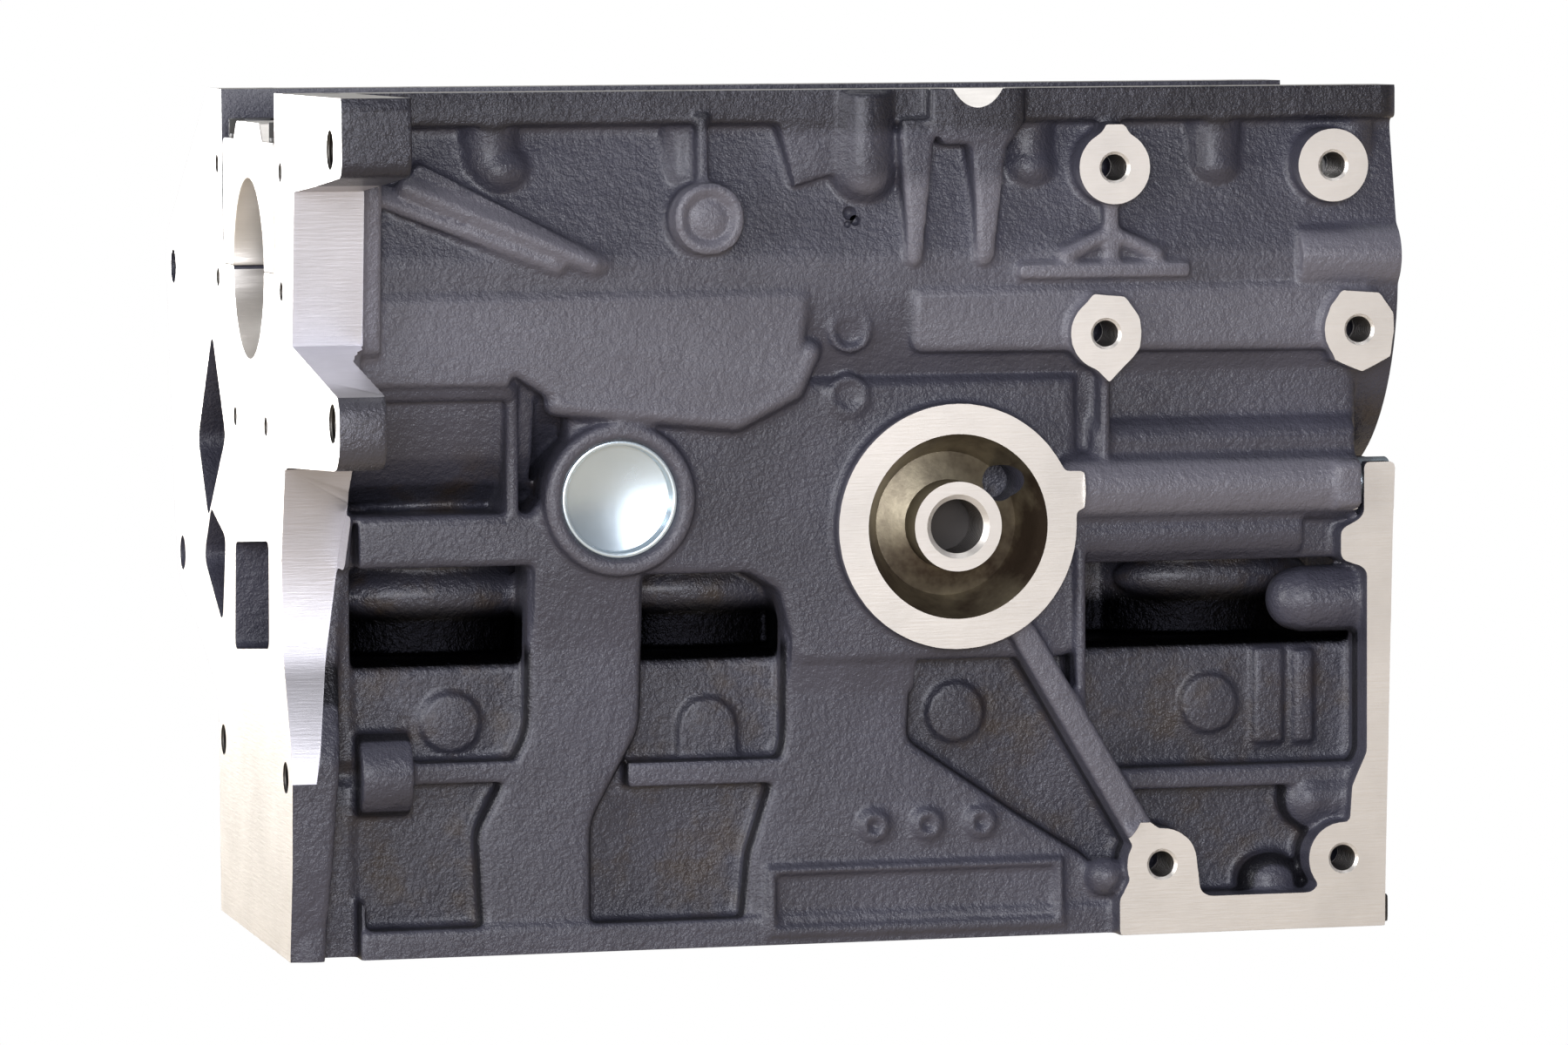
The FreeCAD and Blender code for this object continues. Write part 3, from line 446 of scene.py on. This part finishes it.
def oil_browned(name):
    """The turned floor of the filter seat, browned by oil."""
    finish = Finish(bpy.data.materials.new(name))
    patches = finish.noise(34, 5, 0.62)
    lines = finish.noise(1.0, 3, 0.65, (500, 500, 500))
    return finish.set(
        Base_Color=finish.blend(patches.ramp(0.40, 0.62), (0.27, 0.235, 0.165, 1), (0.06, 0.042, 0.03, 1)),
        Metallic=0.7,
        Roughness=0.36 + lines * 0.14,
        Normal=finish.bump(lines, 0.00012, 0.5),
    )


def threaded(name, axis):
    """Tapped wall: iron painted dark as shade inside the hole, with the rings of a thread along it in painted
    light and shade.
    """
    finish = Finish(bpy.data.materials.new(name))
    pitch = 0.0015
    rings = (finish.axes()[axis] * (2 * math.pi / pitch)).sine()
    return finish.set(
        Base_Color=finish.blend(rings * 0.5 + 0.5, (0.04, 0.036, 0.034, 1), (0.17, 0.16, 0.15, 1)),
        Metallic=0.8,
        Roughness=0.4,
        Normal=finish.bump(rings, 0.0006, 0.9),
    )


machined = milled("machined_iron", (0.85, 0.82, 0.785), (90, 90, 1400))
# the flange's cut edges are given as milled iron, and their darker, bluer tint is a painted reflection of
# bluish light
edge_iron_bluish_sheen = milled("edge_iron_bluish_sheen", (0.62, 0.61, 0.65), (90, 90, 1400))
turned = oil_browned("turned_iron")
thread_end = threaded("threaded_end", X)
thread_side = threaded("threaded_side", Y)
thread_up = threaded("threaded_up", Z)


# ---------------------------------------------------------------- machining
# The deck, the sump rail and both ends are milled flat, then the bosses are
# faced, the oil filter seat is turned, and the bores and holes are drilled.
poured.data.materials.clear()
for material in (paint.owner, machined, edge_iron_bluish_sheen, turned, thread_side, thread_up, thread_end):
    poured.data.materials.append(material)
past = 210  # clear of the casting on every side
flange_back = FLYWHEEL + 22.5


def machine(name, material, build):
    """Cut the casting with a tool, and give the cut faces a finish."""
    tool = bmesh.new()
    build(tool)
    combine(poured, as_object(tool, name, material), "DIFFERENCE")


def mill_deck_and_rail(tool):
    block_of(tool, (-past, -past, DECK - 20), (past, past, DECK))
    block_of(tool, (-past, -past, RAIL), (past, past, RAIL + 20))


def mill_ends(tool):
    block_of(tool, (FLYWHEEL - 20, -past, DECK - 30), (FLYWHEEL, past, RAIL + 32))
    block_of(tool, (TIMING, -past, DECK - 30), (TIMING + 20, past, RAIL + 32))


def face_bosses(tool):
    for bolt_x, bolt_z, out in round_bosses:
        block_of(tool, (bolt_x - 13.5, -90, bolt_z - 17), (bolt_x + 13.5, -out, bolt_z + 15))
    block_of(tool, (FILTER[0] - 44, -90, FILTER[1] - 43), (FILTER[0] + 42.5, -78, FILTER[1] + 43))
    for bolt_x, bolt_z in mount_bolts:
        block_of(tool, (bolt_x - 13.5, 80, bolt_z - 13.5), (bolt_x + 13.5, 92, bolt_z + 13.5))


def face_foot(tool):
    side_plate(tool, [(84, -2), (84, 22), (96, 37), (112, 37), (122, 16), (148, 16), (152, 36), (163, 36),
                      (163, 134), (171.5, 140), (171.5, 155), (190, 155), (190, -2)], 76, 90)


def mill_scallop(tool):
    end_plate(tool, [(-180, 254), (-86.9, 247.4), (-81.0, 198.4), (-180, 183.6)], FLYWHEEL - 4, flange_back)


def mill_flange_edge(tool):
    """The flange's lower edge, on a flange that thins towards the deck."""
    top, thinning = 158, 0.147
    end_plate(tool, [(-100, 158.8), (-65.4, 158.4), (-57.4, 130), (-58.3, 110), (-59.2, 98), (-62, 91),
                     (-71.4, 70), (-72.7, 58), (-100, 57)], FLYWHEEL - 4, FLYWHEEL + 4)
    for corner in tool.verts:
        if corner.co.x > FLYWHEEL:
            corner.co.x = flange_back - (top - corner.co.z) * thinning


def face_breather(tool):
    """A slanted round face at the rail's edge."""
    round_of(tool, (41, -69.4, 278.4), (41, -82.2, 293.8), 10.8)


def chip_wall(tool):
    """Three small chips in the wall beside the upright tube."""
    for chip_x, chip_z, radius in ((-0.5, 238, 2.4), (1.2, 235.6, 1.8), (-1.4, 234.4, 1.2)):
        dome_of(tool, (chip_x, -72.4, chip_z), radius, (1, 1.3, 1))


def turn_filter_seat(tool):
    """The bowl between the seat's outer ring and its centre boss."""
    turn_of(tool, FILTER, [(14.6, 82), (14.6, 65), (23.5, 62), (30.1, 76.6), (30.1, 82)], 96)


def drill_side(tool):
    bracket_radius, bracket_depth, filter_radius, mount_radius = 4.3, 19, 8.85, 4.25
    for bolt_x, bolt_z, out in bracket_bolts:
        mouth, end = (bolt_x, -out - 1, bolt_z), (bolt_x, -out + bracket_depth, bolt_z)
        round_of(tool, mouth, end, bracket_radius, sides=32)
    round_of(tool, (FILTER[0], -79, FILTER[1]), (FILTER[0], -59, FILTER[1]), filter_radius, sides=48)
    for bolt_x, bolt_z in mount_bolts:
        round_of(tool, (bolt_x, 81, bolt_z), (bolt_x, 56, bolt_z), mount_radius, sides=32)


def drill_inlet(tool):
    inlet_x, inlet_z, radius = FILTER[0] + 18, FILTER[1] + 13, 6.1
    round_of(tool, (inlet_x, -80, inlet_z), (inlet_x, -50, inlet_z), radius, sides=32)


def drill_rail(tool):
    radius, depth = 3.15, 12
    for side in (-63, 63):
        for bolt_x in (-168, -118, -55, 4, 61, 124, 172):
            round_of(tool, (bolt_x, side, RAIL + 1), (bolt_x, side, RAIL - depth), radius, sides=24)


def drill_deck(tool):
    radius, depth = 5.65, 12
    for side in (-44, 44):
        for bolt_x in (-176, -88, 0, 88, 176):
            round_of(tool, (bolt_x, side, DECK - 1), (bolt_x, side, DECK + depth), radius, sides=32)


def drill_ends(tool):
    depth = 9
    for end, radius, places in (
        (FLYWHEEL, 6.15, ((-152, 262), (-152, 178))),
        (FLYWHEEL, 5.15, ((-61, 59), (61, 59))),
        (FLYWHEEL, 3.15, ((-62, 253), (62, 253), (-62, 215), (62, 215), (-30, 170), (30, 170))),
        (TIMING, 3.15, ((-60, 250), (60, 250), (-60, 212), (60, 212), (-36, 166), (36, 166))),
    ):
        outwards = math.copysign(1, end)
        for bolt_y, bolt_z in places:
            round_of(tool, (end + outwards * 1.85, bolt_y, bolt_z), (end - outwards * depth, bolt_y, bolt_z),
                     radius, sides=28)


def chamfer_side(tool):
    """Cones that break the mouths of the bracket's holes and of the filter's thread."""
    for bolt_x, bolt_z, out in bracket_bolts:
        round_of(tool, (bolt_x, -out - 1, bolt_z), (bolt_x, -out + 1, bolt_z), 6.2, 4.2, sides=32)
    round_of(tool, (FILTER[0], -79, FILTER[1]), (FILTER[0], -76, FILTER[1]), 11.5, 8.5, sides=48)


def bore_cylinders(tool):
    radius, end_of_bore = 40.5, 170
    for centre in CYLINDERS:
        round_of(tool, (centre, 0, DECK - 2), (centre, 0, end_of_bore), radius, sides=128)


def bore_mains(tool):
    radius = 29.5
    round_of(tool, (FLYWHEEL - 5, 0, CRANK), (TIMING + 5, 0, CRANK), radius, sides=96)


machine("deck_and_rail_mill", machined, mill_deck_and_rail)
machine("end_mill", machined, mill_ends)
machine("boss_mill", machined, face_bosses)
machine("foot_mill", machined, face_foot)
machine("scallop_mill", edge_iron_bluish_sheen, mill_scallop)
machine("flange_mill", edge_iron_bluish_sheen, mill_flange_edge)
machine("breather_mill", machined, face_breather)
machine("chips", paint.owner, chip_wall)
machine("seat_tool", turned, turn_filter_seat)
# the bracket and filter drills stop short of their holes' ends, which keep the black paint as painted shade
machine("side_drill", thread_side, drill_side)
# the inlet's drilled wall takes the black paint, a painted shade down the hole
machine("inlet_drill", paint.owner, drill_inlet)
machine("rail_drill", thread_up, drill_rail)
machine("deck_drill", thread_up, drill_deck)
machine("end_drill", thread_end, drill_ends)
machine("side_chamfer", machined, chamfer_side)
machine("cylinder_bore", machined, bore_cylinders)
machine("main_bore", machined, bore_mains)


def finish_mesh(piece, sharp):
    """Shade smoothly up to a sharp angle in degrees, and bring the mesh to metres."""
    for face in piece.data.polygons:
        face.use_smooth = True
    piece.data.set_sharp_from_angle(angle=math.radians(sharp))
    piece.data.transform(TO_METRES)
    piece.data.validate()


finish_mesh(poured, 38)
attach(poured, "root")
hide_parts("block_casting")


# ---------------------------------------------------------------- caps, bolts and plugs
# Bored iron caps over the bearing walls, the dark steel bolts that clamp them, and
# bright steel plugs pressed or screwed into the casting.  Each gets broken edges
# and a finish of its own, so that every joint shows as a fine line.
bolt_steel = milled("bolt_steel", (0.10, 0.10, 0.105), (400, 400, 400), 0.36)
plug_steel = milled("plug_steel", (0.74, 0.86, 0.95), (60, 60, 60), 0.18)


def break_edges(node, material, width):
    """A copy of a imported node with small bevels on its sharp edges."""
    form = cast_mesh(node)
    bmesh.ops.dissolve_limit(form, angle_limit=math.radians(1), verts=form.verts, edges=form.edges)
    edges = [e for e in form.edges if len(e.link_faces) == 2 and e.calc_face_angle() > math.radians(34)]
    bmesh.ops.bevel(form, geom=edges, offset=width, segments=2, profile=0.5, affect="EDGES",
                    clamp_overlap=True, material=-1)
    bmesh.ops.triangulate(form, faces=form.faces)
    piece = as_object(form, node + "_finished", material)
    finish_mesh(piece, 50)
    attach(piece, "root")
    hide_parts(node)


for node in list(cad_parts):
    if node.startswith("main_bearing_cap"):
        break_edges(node, machined, 0.7)
    elif node == "main_cap_bolts":
        break_edges(node, bolt_steel, 0.5)
    elif node != "block_casting":
        break_edges(node, plug_steel, 0.35)


# ---------------------------------------------------------------- the studio
# A white floor that glows softly from below, and four lamps, of which the left
# one floods the flywheel face.  Places are metres from here on.
floor_form = bmesh.new()
bmesh.ops.create_grid(floor_form, x_segments=1, y_segments=1, size=40)
bmesh.ops.translate(floor_form, vec=(0, 0, -0.0002), verts=floor_form.verts)
floor = as_object(floor_form, "floor")
white = Finish(bpy.data.materials.new("white_floor"))
to_camera = Wire(white, white.node("ShaderNodeLightPath").outputs["Is Camera Ray"])
glow = white.node("ShaderNodeEmission", Color=white.blend(to_camera, (0.95, 0.79, 0.60, 1), (1, 1, 1, 1)),
                  Strength=0.55 + to_camera * 0.45)
surface = white.node("ShaderNodeMixShader")
white.feed(surface.inputs[0], white.node("ShaderNodeNewGeometry").outputs["Backfacing"])
white.feed(surface.inputs[1], glow.outputs[0])
white.feed(surface.inputs[2], white.node("ShaderNodeBsdfTransparent").outputs[0])
white.feed(white.tree.nodes["Material Output"].inputs["Surface"], surface.outputs[0])
floor.data.materials.append(white.owner)

# the backdrop looks white but lights the block only faintly
backdrop = Finish(bpy.data.worlds.new("studio"), "Background")
looked_at = Wire(backdrop, backdrop.node("ShaderNodeLightPath").outputs["Is Camera Ray"])
bpy.context.scene.world = backdrop.set(Color=(1, 1, 1, 1), Strength=0.10 + looked_at * 0.90)


def lamp(name, place, aim, size, power, tint=(1, 1, 1)):
    data = bpy.data.lights.new(name, "AREA")
    data.shape, data.size, data.size_y, data.energy = "RECTANGLE", size[0], size[1], power
    data.color = tint
    made = bpy.data.objects.new(name, data)
    made.location = place
    made.rotation_euler = (Vector(aim) - Vector(place)).to_track_quat("-Z", "Y").to_euler()
    bpy.context.scene.collection.objects.link(made)


middle = (0, 0, 0.14)
lamp("left_window", (-2.2, -0.9, 0.7), middle, (1.0, 1.4), 38)
lamp("front_window", (-0.5, -2.7, 0.55), middle, (1.3, 0.9), 50, (0.93, 0.94, 1))
lamp("top_window", (0.1, 0.2, 2.0), middle, (1.6, 1.4), 12)
lamp("back_window", (-1.0, 2.4, 0.6), (-0.18, 0, 0.14), (1.4, 1.2), 60)

yaw, pitch, roll = math.radians(13.79), math.radians(4.30), math.radians(-0.29)
camera_data = bpy.data.cameras.new("camera")
camera_data.lens, camera_data.sensor_width = 164.56, 36
camera_data.clip_end = 50
camera = bpy.data.objects.new("camera", camera_data)
camera.location = (-0.5741, -2.318, 0.3121)
forward = Vector((math.sin(yaw) * math.cos(pitch), math.cos(yaw) * math.cos(pitch), -math.sin(pitch)))
level_view = forward.to_track_quat("-Z", "Y").to_matrix()
camera.rotation_euler = (level_view @ Matrix.Rotation(roll, 3, "Z")).to_euler()
bpy.context.scene.collection.objects.link(camera)
bpy.context.scene.camera = camera
bpy.context.scene.view_settings.view_transform = "Standard"
